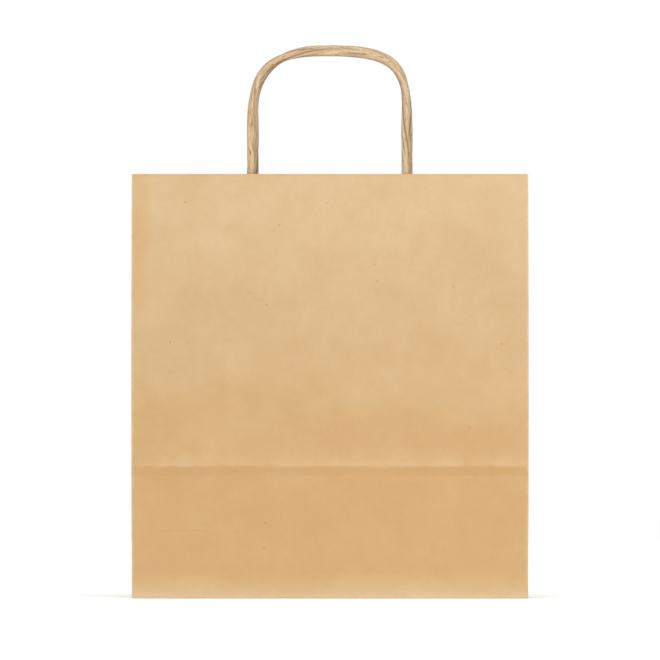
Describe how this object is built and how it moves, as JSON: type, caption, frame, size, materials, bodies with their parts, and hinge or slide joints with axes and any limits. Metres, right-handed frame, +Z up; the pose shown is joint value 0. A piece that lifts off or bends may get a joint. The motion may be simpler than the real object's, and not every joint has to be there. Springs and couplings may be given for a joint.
{
  "type": "gift bag",
  "caption": "Plain kraft paper gift bag with a block bottom, folding side gussets and two upright twisted-paper rope handles.",
  "frame": {"origin": "middle of the bag's underside, on the surface it stands on", "axes": "+Z up towards the handles, +X to the right along the front panel, +Y from the front panel to the back panel"},
  "size_m": [0.24, 0.08, 0.3359],
  "materials": {
    "kraft_paper": "matt machine-finished brown kraft with a faint fibre mottle",
    "patch_paper": "matt brown kraft strip, glued",
    "paper_rope": "matt twisted kraft paper cord"
  },
  "bodies": {
    "base": {"bottom_outer_flap": "kraft_paper", "bottom_inner_flap": "kraft_paper", "left_bottom_tuck": "kraft_paper", "right_bottom_tuck": "kraft_paper"},
    "front_wall": {"front_wall": "kraft_paper", "front_patch_backing": "patch_paper", "front_patch_cover": "patch_paper", "front_handle_ends": "paper_rope"},
    "back_wall": {"back_wall": "kraft_paper", "side_seam_flap": "kraft_paper", "back_patch_backing": "patch_paper", "back_patch_cover": "patch_paper", "back_handle_ends": "paper_rope"},
    "left_front_gusset": {"left_front_gusset": "kraft_paper"},
    "left_back_gusset": {"left_back_gusset": "kraft_paper"},
    "right_front_gusset": {"right_front_gusset": "kraft_paper"},
    "right_back_gusset": {"right_back_gusset": "kraft_paper"},
    "left_toe": {"left_gusset_toe": "kraft_paper"},
    "right_toe": {"right_gusset_toe": "kraft_paper"},
    "front_handle": {"front_handle": "paper_rope"},
    "back_handle": {"back_handle": "paper_rope"}
  },
  "joints": [
    {"name": "front_wall_lean", "type": "hinge", "parent": "base", "child": "front_wall", "pos_m": [0, -0.04, 0.0011], "axis": [-1, 0, 0], "range_deg": [0, 5.2], "stiffness_Nm_per_rad": 1},
    {"name": "back_wall_lean", "type": "hinge", "parent": "base", "child": "back_wall", "pos_m": [0, 0.04, 0.0011], "axis": [1, 0, 0], "range_deg": [0, 5.2], "stiffness_Nm_per_rad": 1},
    {"name": "left_front_gusset_fold", "type": "hinge", "parent": "front_wall", "child": "left_front_gusset", "pos_m": [-0.12, -0.0395, 0.0011], "axis": [0, -0.0094, -1], "range_deg": [0, 52]},
    {"name": "left_back_gusset_fold", "type": "hinge", "parent": "back_wall", "child": "left_back_gusset", "pos_m": [-0.12, 0.0395, 0.0011], "axis": [0, -0.0094, 1], "range_deg": [0, 52]},
    {"name": "right_front_gusset_fold", "type": "hinge", "parent": "front_wall", "child": "right_front_gusset", "pos_m": [0.12, -0.0395, 0.0011], "axis": [0, 0.0094, 1], "range_deg": [0, 52]},
    {"name": "right_back_gusset_fold", "type": "hinge", "parent": "back_wall", "child": "right_back_gusset", "pos_m": [0.12, 0.0395, 0.0011], "axis": [0, 0.0094, -1], "range_deg": [0, 52]},
    {"name": "left_toe_lean", "type": "hinge", "parent": "base", "child": "left_toe", "pos_m": [-0.12, 0, 0.0011], "axis": [0, 1, 0], "range_deg": [0, 18.72]},
    {"name": "right_toe_lean", "type": "hinge", "parent": "base", "child": "right_toe", "pos_m": [0.12, 0, 0.0011], "axis": [0, -1, 0], "range_deg": [0, 18.72]},
    {"name": "front_handle_swing", "type": "hinge", "parent": "front_wall", "child": "front_handle", "pos_m": [0, -0.03444, 0.26196], "axis": [1, 0, 0], "range_deg": [0, 115], "stiffness_Nm_per_rad": 0.05},
    {"name": "back_handle_swing", "type": "hinge", "parent": "back_wall", "child": "back_handle", "pos_m": [0, 0.03444, 0.26196], "axis": [-1, 0, 0], "range_deg": [0, 115], "stiffness_Nm_per_rad": 0.05}
  ],
  "couplings": [
    {"joint": "back_wall_lean", "follows": "front_wall_lean", "ratio": 1},
    {"joint": "left_front_gusset_fold", "follows": "front_wall_lean", "ratio": 10},
    {"joint": "left_back_gusset_fold", "follows": "front_wall_lean", "ratio": 10},
    {"joint": "right_front_gusset_fold", "follows": "front_wall_lean", "ratio": 10},
    {"joint": "right_back_gusset_fold", "follows": "front_wall_lean", "ratio": 10},
    {"joint": "left_toe_lean", "follows": "front_wall_lean", "ratio": 3.6},
    {"joint": "right_toe_lean", "follows": "front_wall_lean", "ratio": 3.6}
  ]
}
